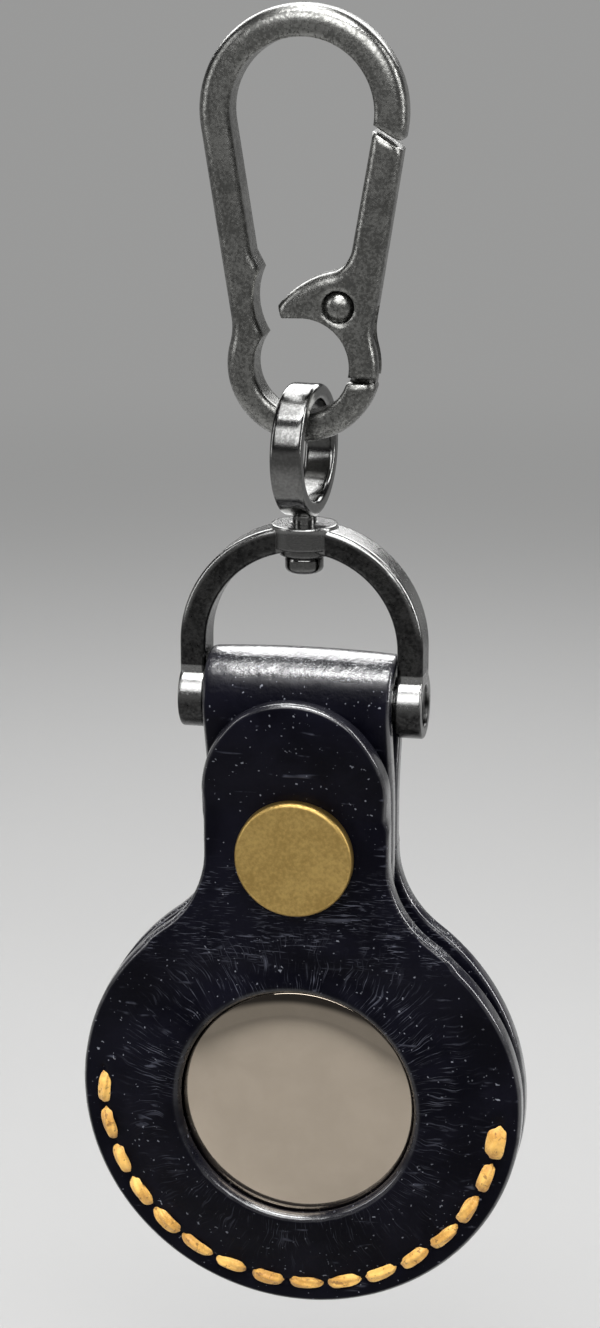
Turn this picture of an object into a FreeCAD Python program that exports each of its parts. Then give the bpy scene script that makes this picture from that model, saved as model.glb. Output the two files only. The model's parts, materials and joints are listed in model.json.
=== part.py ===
import FreeCAD, Part
import math
import os

# Tracker tag holder: a sprung-gate carabiner, a swivel ring, a horseshoe shackle
# and a snapped leather pocket that holds a round tracker behind a window.
# Millimetres. X to the right, Y to the back, Z up. The origin is the inside of the
# carabiner's crown, where the holder hangs. The middle plane of the hardware is Y = 0.

# Carabiner frame
crown_inner_radius = 7.3
bar_width = 3.2
carabiner_length = 43.65
frame_depth = 4.2
leg_slope_deg = 9.0
eye_outer_radius = 7.8
eye_bar_width = 2.9
waist_blend = 6.0
outer_round = 1.4
edge_round = 0.5
nose_slant_deg = 32.0
grip_drop = 23.1
grip_ramp = 1.8
grip_rise = 0.6
scallop_depth = 0.55
stub_drop = 1.5

# Gate, its rivet, the frame's tongue and the leaf spring
gate_gap = 0.6
rivet_setback = 2.33
rivet_turn_deg = 58.3
rivet_radius = 1.1
rivet_head_radius = 1.5
rivet_head_height = 0.7
rivet_head_proud = 0.3
rivet_groove = 0.2
rivet_fit = 0.05
beak_reach = 6.2
beak_tip_depth = 1.3
beak_tip_bevel = 0.45
beak_crown_rise = 2.4
beak_crown_offset = 3.4
beak_root_offset = 0.4
beak_root_rise = 3.5
beak_round = 1.0
arm_blend_offset = 0.6
arm_blend_rise = 4.3
arm_start_offset = 1.25
arm_start_rise = 5.6
beak_under_deg = 94.0
tongue_thickness = 1.8
tongue_head_radius = 2.0
tongue_inset = 0.2
tongue_root = 1.2
slot_clearance = 0.2
gate_round = 0.35
spring_thickness = 0.3
spring_length = 5.4
spring_bow = 0.3
spring_foot_rise = 0.5
spring_gap = 0.1
spring_room = 0.5

# Swivel ring, its stem, washer and riveted head
ring_outer_radius = 6.8
ring_wall = 1.6
ring_width = 3.3
ring_drop = 2.45
ring_round = 0.45
ring_turn_deg = 6.0
stem_radius = 1.25
stem_fit = 0.05
neck_length = 0.9
swivel_play = 0.05
washer_radius = 2.6
washer_thickness = 0.8
head_radius = 2.0
head_height = 1.9
head_round = 0.6

# Shackle and its screw pin
bow_outer_radius = 12.8
bow_width = 2.7
bow_depth = 4.4
bow_leg = 6.0
bow_round = 0.5
boss_radius = 3.4
boss_height = 2.35
foot_radius = 3.5
foot_round = 0.25
pin_radius = 2.2
thread_fit = 0.03
pin_recess = 0.3
pin_slot_width = 0.9
pin_slot_depth = 0.8

# Leather
leather_thickness = 2.4
strap_width = 19.7
loop_slack = 0.6
loop_meet = 9.0
strap_tail = 22.6
disc_radius = 24.0
disc_drop = 44.3
neck_fillet = 11.0
tongue_top_rise = 1.45
window_radius = 13.05
window_inner_level = 3.65
seam_rim_width = 4.6
back_rim_width = 3.4
back_dome_height = 4.5
tilt_rise = 3.0
bend_drop = 24.4
bend_fit = 0.1
layer_gap = 0.05

# Snap fastener
snap_drop = 15.8
cap_radius = 6.25
cap_height = 1.5
cap_wall = 0.5
cap_round = 0.5
tube_radius = 1.6
tube_fit = 0.05
socket_radius = 5.0
socket_depth = 1.2
socket_mouth = 2.5
seat_fit = 0.05
snap_ring_wire = 0.2
stud_base_radius = 3.6
stud_base_depth = 0.5
stud_radius = 1.85
stud_height = 1.0
stud_round = 0.35
post_radius = 4.8
post_thickness = 0.8
post_round = 0.3
post_shank_radius = 1.1

# Stitching along the lower rim
stitch_count = 16
stitch_inset = 2.4
stitch_first_deg = 181.5
stitch_last_deg = 351.2
stitch_length = 3.7
stitch_width = 1.3
stitch_height = 0.45

# Round tracker
tag_radius = 15.95
tag_thickness = 8.0
tag_wall = 1.0
tag_cap_radius = 63.7
tag_corner_radius = 4.3
tag_shoulder_radius = 14.6
tag_shoulder_level = 2.6
tag_lip_level = 3.45
tag_lip_thickness = 0.8
pocket_clearance = 0.15
cover_radius = 12.85
cover_wall = 0.6
cover_crown = 0.25
cover_skirt = 1.65
cover_fit = 0.1
tab_count = 3
tab_reach = 0.6
tab_thickness = 0.5
tab_sweep_deg = 24.0
notch_turn_deg = 30.0
notch_sweep_deg = 28.0
cell_radius = 10.0
cell_height = 3.2
cell_round = 0.3
cell_gap = 0.1
tray_wall = 1.5
tray_wall_height = 2.0
tray_floor = 0.6
board_radius = 12.0
board_bore = 5.6
board_thickness = 0.8
magnet_radius = 4.5
magnet_height = 1.5
coil_radius = 3.4
coil_wall = 0.7
contact_count = 3
contact_width = 2.0
contact_length = 4.0
contact_thickness = 0.2
contact_radius = 7.6

# Runs past every cut face
overrun = 1.0

# Places worked out from the sizes above
crown_outer_radius = crown_inner_radius + bar_width
crown_z = -crown_inner_radius
eye_inner_radius = eye_outer_radius - eye_bar_width
eye_z = bar_width - carabiner_length + eye_outer_radius
eye_bar_z = eye_z - eye_outer_radius + eye_bar_width / 2
rivet_reach = eye_inner_radius + rivet_setback
rivet_offset = rivet_reach * math.cos(math.radians(rivet_turn_deg))
rivet_z = eye_z + rivet_reach * math.sin(math.radians(rivet_turn_deg))
ring_z = eye_bar_z - ring_drop
ring_inner_radius = ring_outer_radius - ring_wall
bow_top_z = ring_z - ring_outer_radius - neck_length
bow_z = bow_top_z - bow_outer_radius
bow_inner_radius = bow_outer_radius - bow_width
boss_low_z = bow_top_z - boss_height
washer_low_z = boss_low_z - swivel_play - washer_thickness
pin_z = bow_z - bow_leg
loop_inner_radius = pin_radius + loop_slack
loop_outer_radius = loop_inner_radius + leather_thickness
disc_z = pin_z - disc_drop
snap_z = pin_z - snap_drop
bend_z = pin_z - bend_drop
tail_z = pin_z - strap_tail
strap_half = strap_width / 2
slot_half = tongue_thickness / 2 + slot_clearance
tag_half = tag_thickness / 2
flap_back_y = -leather_thickness - layer_gap
flap_front_y = flap_back_y - leather_thickness
bend_y = (flap_back_y + flap_front_y) / 2
far_side = disc_radius + overrun
rim_inner_radius = disc_radius - seam_rim_width
back_dome_radius = disc_radius - back_rim_width

# Half the smallest rounding is far more than the error of a place and less than any step
edge_match = gate_round / 2

x_axis = FreeCAD.Vector(1, 0, 0)
y_axis = FreeCAD.Vector(0, 1, 0)
z_axis = FreeCAD.Vector(0, 0, 1)


def point(x, y, z):
    return FreeCAD.Vector(x, y, z)


def flat(x, z):
    """A point of an outline drawn in the middle plane."""
    return point(x, 0, z)


def side(y, z):
    """A point of a profile drawn in the YZ plane."""
    return point(0, y, z)


def on_circle(radius, angle_deg, z, x=0):
    """A point of a circle in the middle plane about the place x, z."""
    angle = math.radians(angle_deg)
    return flat(x + radius * math.cos(angle), z + radius * math.sin(angle))


def mirrored(place):
    return flat(-place.x, place.z)


def outline(start, *steps):
    """Closed wire. A step is a point, reached straight, or a pair: an arc through one to the other."""
    edges = []
    here = start
    for step in steps:
        if isinstance(step, tuple):
            through, there = step
            edges.append(Part.Arc(here, through, there).toShape())
        else:
            there = step
            edges.append(Part.LineSegment(here, there).toShape())
        here = there
    if not here.isEqual(start, 0):
        edges.append(Part.LineSegment(here, start).toShape())
    return Part.Wire(edges)


def plate(wire, y_front, y_back):
    """Solid between two levels of Y from an outline drawn in the middle plane."""
    face = Part.Face(wire)
    face.translate(y_axis * y_front)
    return face.extrude(y_axis * (y_back - y_front))


def strip(wire, half_width):
    """Solid of even width in X from a profile drawn in the YZ plane."""
    face = Part.Face(wire)
    face.translate(x_axis * -half_width)
    return face.extrude(x_axis * (half_width + half_width))


def turned(z, start, *steps):
    """Solid of revolution about the Y direction at height z, from a profile of radius and Y."""
    solid = Part.Face(outline(start, *steps)).revolve(point(0, 0, 0), y_axis, 360)
    solid.translate(z_axis * z)
    return solid


def rod_y(radius, x, z, y_front, y_back):
    """Round bar along Y."""
    return Part.makeCylinder(radius, y_back - y_front, point(x, y_front, z), y_axis)


def rod_x(radius, x_low, x_high, y, z):
    """Round bar along X."""
    return Part.makeCylinder(radius, x_high - x_low, point(x_low, y, z), x_axis)


def rod_z(radius, z_low, z_high):
    """Round bar on the Z axis."""
    return Part.makeCylinder(radius, z_high - z_low, point(0, 0, z_low), z_axis)


def block(low, high):
    size = high - low
    return Part.makeBox(size.x, size.y, size.z, low)


def rim_edges(solid, *levels):
    """Edges that lie wholly at one of the given levels of Y."""
    found = []
    for edge in solid.Edges:
        box = edge.BoundBox
        for level in levels:
            if abs(box.YMin - level) + abs(box.YMax - level) < edge_match:
                found.append(edge)
    return found


def edges_by(solid, level, *places):
    """Edges at a level of Y and at its mirror that pass through places of the outline."""
    found = []
    for edge in rim_edges(solid, -level, level):
        for place in places:
            there = Part.Vertex(point(place.x, edge.BoundBox.YMin, place.z))
            if edge.distToShape(there)[0] < edge_match:
                found.append(edge)
    return found


def cross_edges(solid, place):
    """Edges along Y that stand at the given place."""
    found = []
    for edge in solid.Edges:
        box = edge.BoundBox
        off_x = abs(box.XMin - place.x) + abs(box.XMax - place.x)
        off_z = abs(box.ZMin - place.z) + abs(box.ZMax - place.z)
        if off_x + off_z < edge_match:
            found.append(edge)
    return found


def line_to_circle(start, direction, radius, z):
    """Where a line first meets the circle of that radius about the Z axis at height z."""
    offset = start - flat(0, z)
    half = offset.dot(direction)
    rest = offset.dot(offset) - radius * radius
    return start + direction * (-half - math.sqrt(half * half - rest))


def on_eye(radius, drop):
    """Right-hand point of a circle about the eye's centre, a drop below that centre."""
    return flat(math.sqrt(radius * radius - drop * drop), eye_z - drop)


# The legs lean inwards from the crown to the eye, and the nose ends in a slant
slope = math.radians(leg_slope_deg)
slant = math.radians(nose_slant_deg)
left_down = flat(math.sin(slope), -math.cos(slope))
right_down = mirrored(left_down)
left_inwards = flat(math.cos(slope), math.sin(slope))
left_outer_top = on_circle(crown_outer_radius, 180 + leg_slope_deg, crown_z)
left_inner_top = on_circle(crown_inner_radius, 180 + leg_slope_deg, crown_z)
left_waist = line_to_circle(left_outer_top, left_down, eye_outer_radius, eye_z)
left_corner = line_to_circle(left_inner_top, left_down, eye_inner_radius, eye_z)
right_waist = mirrored(left_waist)
nose_inner = mirrored(left_inner_top)
nose_outer = nose_inner + flat(math.cos(slant), -math.sin(slant)) * (bar_width / math.cos(slant - slope))


def make_carabiner_frame():
    """Crown, left leg with two grips, round eye, and the tongue that carries the gate."""
    half = frame_depth / 2
    grip_foot = left_inner_top + left_down * ((-grip_drop - left_inner_top.z) / left_down.z)
    grip_start = grip_foot - left_down * grip_ramp
    grip_top = grip_foot + left_inwards * grip_rise
    scallop = (grip_foot + left_corner) / 2 - left_inwards * scallop_depth
    body = plate(
        outline(
            nose_inner,
            (on_circle(crown_inner_radius, 90, crown_z), left_inner_top),
            grip_start,
            grip_top,
            (scallop, left_corner),
            (on_circle(eye_inner_radius, 225, eye_z), on_eye(eye_inner_radius, stub_drop)),
            on_eye(eye_outer_radius, stub_drop),
            (on_circle(eye_outer_radius, 270, eye_z), left_waist),
            left_outer_top,
            (on_circle(crown_outer_radius, 90, crown_z), mirrored(left_outer_top)),
            nose_outer,
        ),
        -half,
        half,
    )
    body = body.makeFillet(waist_blend, cross_edges(body, left_waist))
    body = body.makeFillet(outer_round, edges_by(body, half, flat(0, bar_width)))
    eye_low = on_circle(eye_inner_radius, 225, eye_z)
    nose_end = (nose_inner + nose_outer) / 2
    stub_end = (on_eye(eye_inner_radius, stub_drop) + on_eye(eye_outer_radius, stub_drop)) / 2
    grip_middle = (grip_start + grip_top) / 2
    inner = edges_by(body, half, flat(0, 0), grip_middle, scallop, eye_low, nose_end, stub_end)
    body = body.makeFillet(edge_round, inner)
    return body.fuse(make_tongue()).cut(rivet_bar(rivet_radius + rivet_fit)).removeSplitter()


def make_tongue():
    """Flat tongue that rises from the eye to the rivet, between the gate's cheeks."""
    half = tongue_thickness / 2
    inner = eye_inner_radius + tongue_inset
    outer = eye_outer_radius - tongue_inset
    rise = plate(
        outline(
            on_eye(inner, stub_drop + tongue_root),
            on_eye(outer, stub_drop + tongue_root),
            (on_circle(outer, rivet_turn_deg / 2, eye_z), on_circle(outer, rivet_turn_deg, eye_z)),
            on_circle(inner, rivet_turn_deg, eye_z),
            (on_circle(inner, rivet_turn_deg / 2, eye_z), on_eye(inner, stub_drop + tongue_root)),
        ),
        -half,
        half,
    )
    return rise.fuse(rod_y(tongue_head_radius, rivet_offset, rivet_z, -half, half))


def rivet_bar(radius):
    """Bar on the gate's pivot that runs past both faces."""
    return rod_y(radius, rivet_offset, rivet_z, -frame_depth, frame_depth)


def from_rivet(left, up):
    return flat(rivet_offset - left, rivet_z + up)


def spring_line(offset):
    """Foot, middle and top of the leaf spring's line, moved outwards by an offset."""
    foot = from_rivet(-tongue_head_radius - spring_gap - spring_thickness / 2, spring_foot_rise)
    top = foot - right_down * spring_length
    outwards = mirrored(left_inwards) * -1
    middle = (foot + top) / 2 + outwards * spring_bow
    return [place + outwards * offset for place in (foot, middle, top)]


def make_gate():
    """Arm that closes the hook, with the beak that guards the eye, forked round the tongue."""
    half = frame_depth / 2
    top_inner = nose_inner + right_down * gate_gap
    top_outer = nose_outer + right_down * gate_gap
    foot_drop = stub_drop - gate_gap
    beak_under = on_circle(eye_inner_radius, beak_under_deg / 2, eye_z)
    beak_end = on_circle(eye_inner_radius, beak_under_deg, eye_z)
    body = plate(
        outline(
            on_eye(eye_inner_radius, foot_drop),
            (beak_under, beak_end),
            from_rivet(beak_reach - beak_tip_bevel, -beak_tip_depth),
            from_rivet(beak_reach, 0),
            (from_rivet(beak_crown_offset, beak_crown_rise), from_rivet(beak_root_offset, beak_root_rise)),
            (from_rivet(-arm_blend_offset, arm_blend_rise), from_rivet(-arm_start_offset, arm_start_rise)),
            top_inner,
            top_outer,
            right_waist,
            (on_circle(eye_outer_radius, 0, eye_z), on_eye(eye_outer_radius, foot_drop)),
        ),
        -half,
        half,
    )
    body = body.makeFillet(waist_blend, cross_edges(body, right_waist))
    body = body.makeFillet(outer_round, edges_by(body, half, (top_outer + right_waist) / 2))
    beak_top = from_rivet(beak_crown_offset, beak_crown_rise)
    arm_blend = from_rivet(-arm_blend_offset, arm_blend_rise)
    arm_inner = (top_inner + from_rivet(-arm_start_offset, arm_start_rise)) / 2
    body = body.makeFillet(beak_round, edges_by(body, half, beak_top, arm_blend, arm_inner))
    body = body.makeFillet(gate_round, edges_by(body, half, beak_under))
    body = body.cut(make_fork()).cut(rivet_bar(rivet_radius + rivet_fit))
    floor = half - rivet_head_height + rivet_head_proud
    for y_front, y_back in ((-frame_depth, -floor), (floor, frame_depth)):
        body = body.cut(rod_y(rivet_head_radius + rivet_groove, rivet_offset, rivet_z, y_front, y_back))
    return body


def make_fork():
    """Space between the gate's cheeks: round the tongue's head, open below, with a run for the spring."""
    reach = tongue_head_radius + slot_clearance
    head = rod_y(reach, rivet_offset, rivet_z, -slot_half, slot_half)
    low = point(rivet_offset - reach, -slot_half, eye_z - stub_drop)
    mouth = block(low, point(eye_outer_radius + overrun, slot_half, rivet_z))
    near = spring_line(-spring_bow - spring_room)
    far = spring_line(spring_room)
    roof = right_down * -spring_room
    run = plate(outline(near[0], near[2] + roof, far[2] + roof, far[0]), -slot_half, slot_half)
    return head.fuse(mouth).fuse(run)


def make_gate_rivet():
    """Shank with a low domed head let into each cheek."""
    half = frame_depth / 2 + rivet_head_proud
    rivet = rod_y(rivet_radius, rivet_offset, rivet_z, -half, half)
    under = half - rivet_head_height + rivet_fit
    for y_front, y_back in ((-half, -under), (under, half)):
        rivet = rivet.fuse(rod_y(rivet_head_radius, rivet_offset, rivet_z, y_front, y_back))
    dome = Part.makeSphere(half, flat(rivet_offset, rivet_z))
    return rivet.removeSplitter().common(dome)


def make_gate_spring():
    """Bowed leaf that bears on the tongue's head and pushes the gate shut."""
    half = tongue_thickness / 2
    near = spring_line(-spring_thickness / 2)
    far = spring_line(spring_thickness / 2)
    return plate(outline(near[0], (near[1], near[2]), far[2], (far[1], far[0])), -half, half)


def make_swivel_ring():
    """Flat-sided ring with a stem that passes through the shackle and ends in a riveted head."""
    half = ring_width / 2
    ring = rod_x(ring_outer_radius, -half, half, 0, ring_z)
    ring = ring.cut(rod_x(ring_inner_radius, -half - overrun, half + overrun, 0, ring_z))
    round_edges = [edge for edge in ring.Edges if edge.Closed]
    ring = ring.makeFillet(ring_round, round_edges)
    ring.rotate(flat(0, ring_z), z_axis, -ring_turn_deg)
    stem_top = ring_z - ring_outer_radius + ring_wall / 2
    head_top = washer_low_z
    stem = rod_z(stem_radius, head_top - head_height / 2, stem_top)
    head = rod_z(head_radius, head_top - head_height, head_top)
    head = head.makeFillet(head_round, [edge for edge in head.Edges if edge.Closed])
    return ring.fuse(stem).fuse(head)


def make_swivel_washer():
    """Washer between the shackle's boss and the riveted head."""
    low = washer_low_z
    high = low + washer_thickness
    return rod_z(washer_radius, low, high).cut(rod_z(stem_radius + stem_fit, low - overrun, high + overrun))


def make_shackle_bow():
    """Horseshoe with a bored boss at its crown and two bored feet."""
    half = bow_depth / 2
    bow = plate(
        outline(
            flat(bow_outer_radius, pin_z),
            flat(bow_outer_radius, bow_z),
            (flat(0, bow_top_z), flat(-bow_outer_radius, bow_z)),
            flat(-bow_outer_radius, pin_z),
            flat(-bow_inner_radius, pin_z),
            flat(-bow_inner_radius, bow_z),
            (flat(0, bow_z + bow_inner_radius), flat(bow_inner_radius, bow_z)),
            flat(bow_inner_radius, pin_z),
        ),
        -half,
        half,
    )
    bow = bow.makeFillet(bow_round, rim_edges(bow, -half, half))
    bow = bow.cut(rod_z(washer_radius + swivel_play, boss_low_z - bow_width, boss_low_z))
    bow = bow.fuse(rod_z(boss_radius, boss_low_z, bow_top_z))
    for x_low, x_high in ((-bow_outer_radius, -bow_inner_radius), (bow_inner_radius, bow_outer_radius)):
        foot = rod_x(foot_radius, x_low, x_high, 0, pin_z)
        foot = foot.makeFillet(foot_round, [edge for edge in foot.Edges if edge.Closed])
        bow = bow.fuse(foot)
    bow = bow.cut(rod_z(stem_radius + stem_fit, boss_low_z - overrun, bow_top_z + overrun))
    past = bow_outer_radius + overrun
    return bow.cut(rod_x(pin_radius + thread_fit, -past, past, 0, pin_z))


def make_screw_pin():
    """Headless slotted pin that joins the shackle's feet."""
    end = bow_outer_radius - pin_recess
    pin = rod_x(pin_radius, -end, end, 0, pin_z)
    half = pin_slot_width / 2
    low = point(end - pin_slot_depth, -half, pin_z - pin_radius)
    return pin.cut(block(low, point(end + overrun, half, pin_z + pin_radius)))


def leather_outline(neck_top, across_top):
    """Disc with a filleted neck. across_top is the last step, from the neck's left side to its right."""
    centre_x = strap_half + neck_fillet
    reach = disc_radius + neck_fillet
    rise = math.sqrt(reach * reach - centre_x * centre_x)
    join = flat(centre_x, rise) * (disc_radius / reach) + flat(0, disc_z)
    turn_deg = 180 + math.degrees(math.atan2(rise, centre_x))
    belly = on_circle(neck_fillet, (180 + turn_deg) / 2, disc_z + rise, centre_x)
    start = flat(strap_half, disc_z + rise)
    return outline(
        start,
        (belly, join),
        (flat(0, disc_z - disc_radius), mirrored(join)),
        (mirrored(belly), mirrored(start)),
        flat(-strap_half, neck_top),
        across_top,
    )


def square_outline(neck_top):
    """Disc and neck cut straight across at a height."""
    return leather_outline(neck_top, flat(strap_half, neck_top))


# The strap's two layers part above the snap and wrap the pin; the flap leans with them
loop_angle = math.asin(loop_inner_radius / loop_meet)
loop_cos = math.cos(loop_angle)
loop_sin = math.sin(loop_angle)
meet_z = pin_z - loop_meet
layer_corner_z = meet_z - leather_thickness * math.tan(loop_angle / 2)


def make_back_leather():
    """Back disc whose neck wraps the pin and comes down in front as the strap's tail."""
    t = leather_thickness
    outer_y = loop_outer_radius * loop_cos
    outer_z = pin_z - loop_outer_radius * loop_sin
    inner_y = loop_inner_radius * loop_cos
    inner_z = pin_z - loop_inner_radius * loop_sin
    strap = strip(
        outline(
            side(t, tail_z),
            side(t, layer_corner_z),
            side(outer_y, outer_z),
            (side(0, pin_z + loop_outer_radius), side(-outer_y, outer_z)),
            side(-t, layer_corner_z),
            side(-t, tail_z),
            side(-layer_gap, tail_z),
            side(-layer_gap, meet_z),
            side(-inner_y, inner_z),
            (side(0, pin_z + loop_inner_radius), side(inner_y, inner_z)),
            side(0, meet_z),
            side(0, tail_z),
        ),
        strap_half,
    )
    panel = plate(square_outline(snap_z), 0, t)
    dome = make_cap(back_dome_radius, t, back_dome_height)
    leather = panel.fuse(dome).fuse(strap).cut(make_pocket())
    shank = post_shank_radius + seat_fit
    leather = leather.cut(rod_y(shank, 0, snap_z, -t - overrun, t + overrun))
    seat_back = -t + stud_base_depth + seat_fit
    leather = leather.cut(rod_y(stud_base_radius + seat_fit, 0, snap_z, -t - overrun, seat_back))
    return leather.removeSplitter()


def make_cap(radius, level, height):
    """Low dome to the back of a level, about the disc's centre."""
    sphere = (radius * radius + height * height) / (height + height)
    half_angle = math.asin(radius / sphere) / 2
    middle = point(sphere * math.sin(half_angle), level + height - sphere * (1 - math.cos(half_angle)), 0)
    apex = point(0, level + height, 0)
    return turned(disc_z, point(0, level, 0), point(radius, level, 0), (middle, apex))


def make_pocket():
    """Room for the tracker between the two discs."""
    level = window_inner_level
    front = turned(
        disc_z,
        point(0, 0, 0),
        point(rim_inner_radius, 0, 0),
        point(window_radius, -level, 0),
        point(0, -level, 0),
    )
    back = make_cap(rim_inner_radius, 0, tag_half + pocket_clearance)
    return front.fuse(back).fuse(tag_body(pocket_clearance))


def make_front_sheet():
    """Front disc, neck and round-ended flap as one bent sheet, with the raised ring round the window."""
    t = leather_thickness
    top_z = pin_z + tongue_top_rise
    lean = math.tan(loop_angle)
    top_back_y = flap_back_y - (top_z - layer_corner_z) * lean
    tilt_z = disc_z + tilt_rise
    low_z = disc_z - far_side
    bent_z = bend_z - t
    back_line = [side(0, low_z), side(0, tilt_z), side(flap_back_y, bent_z)]
    back_line += [side(flap_back_y, layer_corner_z), side(top_back_y, top_z)]
    front_line = [place - y_axis * t for place in reversed(back_line)]
    sheet = strip(outline(*back_line, *front_line), far_side)
    round_z = top_z - strap_half
    shape = leather_outline(round_z, (flat(0, top_z), flat(strap_half, round_z)))
    sheet = sheet.common(plate(shape, -far_side, far_side))
    fall = window_inner_level / (rim_inner_radius - window_radius)
    skin = t * math.sqrt(1 + fall * fall)
    top_level = window_inner_level + skin
    foot_radius_outer = window_radius + (top_level - t) / fall
    ring = turned(
        disc_z,
        point(0, 0, 0),
        point(foot_radius_outer, 0, 0),
        point(foot_radius_outer, -t, 0),
        point(window_radius, -top_level, 0),
        point(0, -top_level, 0),
    )
    behind = strip(outline(*back_line, side(far_side, top_z), side(far_side, low_z)), far_side)
    sheet = sheet.fuse(ring).cut(behind).cut(make_pocket())
    return sheet.cut(rod_y(window_radius, 0, disc_z, -far_side, far_side)).removeSplitter()


def split_front_sheet():
    """The front panel, and the flap that bends away from it on a rounded end."""
    sheet = make_front_sheet()
    split_z = bend_z - leather_thickness / 2 - bend_fit
    deep = point(-far_side, -far_side, disc_z - far_side)
    panel = sheet.common(block(deep, point(far_side, far_side, split_z)))
    upper = sheet.common(block(point(-far_side, -far_side, bend_z), point(far_side, far_side, 0)))
    barrel = rod_x(leather_thickness / 2, -far_side, far_side, bend_y, bend_z)
    shape = plate(square_outline(snap_z), -far_side, far_side)
    flap = upper.fuse(barrel.common(shape)).removeSplitter()
    flap = flap.cut(rod_y(tube_radius + tube_fit, 0, snap_z, -far_side, far_side))
    seat_front = flap_back_y - socket_depth - seat_fit
    flap = flap.cut(rod_y(socket_radius + seat_fit, 0, snap_z, seat_front, 0))
    return panel, flap


def make_snap_cap():
    """Turned-over cap with the tube that is set through the flap."""
    front = flap_front_y - cap_height
    cap = rod_y(cap_radius, 0, snap_z, front, flap_front_y)
    cap = cap.makeFillet(cap_round, rim_edges(cap, front))
    cap = cap.cut(rod_y(cap_radius - cap_wall, 0, snap_z, front + cap_wall, flap_front_y + overrun))
    socket_front = flap_back_y - socket_depth
    tube = rod_y(tube_radius, 0, snap_z, front + cap_wall / 2, socket_front)
    return cap.fuse(tube)


def make_snap_socket():
    """Socket let into the back of the flap, with a groove for its spring ring."""
    front = flap_back_y - socket_depth
    socket = rod_y(socket_radius, 0, snap_z, front, flap_back_y)
    socket = socket.cut(rod_y(socket_mouth, 0, snap_z, front + snap_ring_wire, flap_back_y + overrun))
    return socket.cut(make_snap_spring_ring(snap_ring_wire + seat_fit))


def make_snap_spring_ring(wire=snap_ring_wire):
    """Wire ring that grips the stud."""
    middle = flap_back_y - socket_depth / 2
    return Part.makeTorus(socket_mouth, wire, point(0, middle, snap_z), y_axis)


def make_snap_stud():
    """Stud on the strap's tail, on a base let into the leather."""
    t = leather_thickness
    base = rod_y(stud_base_radius, 0, snap_z, -t, -t + stud_base_depth)
    front = -t - stud_height
    knob = rod_y(stud_radius, 0, snap_z, front, -t)
    knob = knob.makeFillet(stud_round, rim_edges(knob, front))
    bore = rod_y(post_shank_radius + seat_fit, 0, snap_z, -t - stud_height / 2, t)
    return base.fuse(knob).cut(bore)


def make_snap_post():
    """Back cap whose shank holds both strap layers and the stud."""
    t = leather_thickness
    back = t + post_thickness
    cap = rod_y(post_radius, 0, snap_z, t, back)
    cap = cap.makeFillet(post_round, rim_edges(cap, back))
    return cap.fuse(rod_y(post_shank_radius, 0, snap_z, -t - stud_height / 2, t))


def make_stitches(y_front):
    """Row of pointed stitches round the lower rim, standing on the face at one side."""
    half_length = stitch_length / 2
    half_width = stitch_width / 2
    row = []
    for index in range(stitch_count):
        turn = stitch_first_deg + (stitch_last_deg - stitch_first_deg) * index / (stitch_count - 1)
        grain = plate(
            outline(
                flat(0, half_length),
                (flat(half_width, 0), flat(0, -half_length)),
                (flat(-half_width, 0), flat(0, half_length)),
            ),
            y_front,
            y_front + stitch_height,
        )
        grain.translate(x_axis * (disc_radius - stitch_inset))
        grain.rotate(point(0, 0, 0), y_axis, -turn)
        grain.translate(z_axis * disc_z)
        row.append(grain)
    return Part.makeCompound(row)


def tag_body(grow):
    """Outer form of the tracker's body, grown evenly by a clearance."""
    cap = tag_cap_radius + grow
    corner = tag_corner_radius + grow
    edge = tag_radius + grow
    centre_y = tag_half - tag_cap_radius
    lean = math.asin((edge - corner) / (cap - corner))
    join = point(cap * math.sin(lean), centre_y + cap * math.cos(lean), 0)
    on_cap = point(cap * math.sin(lean / 2), centre_y + cap * math.cos(lean / 2), 0)
    corner_y = join.y - corner * math.cos(lean)
    turn = (lean + math.pi / 2) / 2
    on_corner = point(edge - corner + corner * math.sin(turn), corner_y + corner * math.cos(turn), 0)
    lip = tag_lip_level + grow
    return turned(
        disc_z,
        point(0, -lip, 0),
        point(cover_radius + cover_fit + grow, -lip, 0),
        point(tag_shoulder_radius + grow, -tag_shoulder_level - grow, 0),
        point(edge, corner_y, 0),
        (on_corner, join),
        (on_cap, point(0, centre_y + cap, 0)),
    )


def sector(inner, outer, middle_deg, sweep_deg, y_front, y_back):
    """Part of a ring about the disc's centre."""
    low = middle_deg - sweep_deg / 2
    high = middle_deg + sweep_deg / 2
    wire = outline(
        on_circle(inner, low, disc_z),
        on_circle(outer, low, disc_z),
        (on_circle(outer, middle_deg, disc_z), on_circle(outer, high, disc_z)),
        on_circle(inner, high, disc_z),
        (on_circle(inner, middle_deg, disc_z), on_circle(inner, low, disc_z)),
    )
    return plate(wire, y_front, y_back)


def make_tag_shell():
    """Domed body with a lip round the cover's mouth and three notches for its tabs."""
    shell = tag_body(0).cut(tag_body(-tag_wall))
    mouth = cover_radius + cover_fit
    shell = shell.cut(rod_y(mouth, 0, disc_z, -tag_thickness, 0))
    under = -tag_lip_level + tag_lip_thickness
    notch_outer = mouth + tab_reach + cover_fit
    shell = shell.cut(rod_y(notch_outer, 0, disc_z, under, 0))
    for index in range(tab_count):
        turn = 90 + index * 360 / tab_count + notch_turn_deg
        notch = sector(mouth - overrun, notch_outer, turn, notch_sweep_deg, -tag_thickness, under + overrun)
        shell = shell.cut(notch)
    return shell


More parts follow.
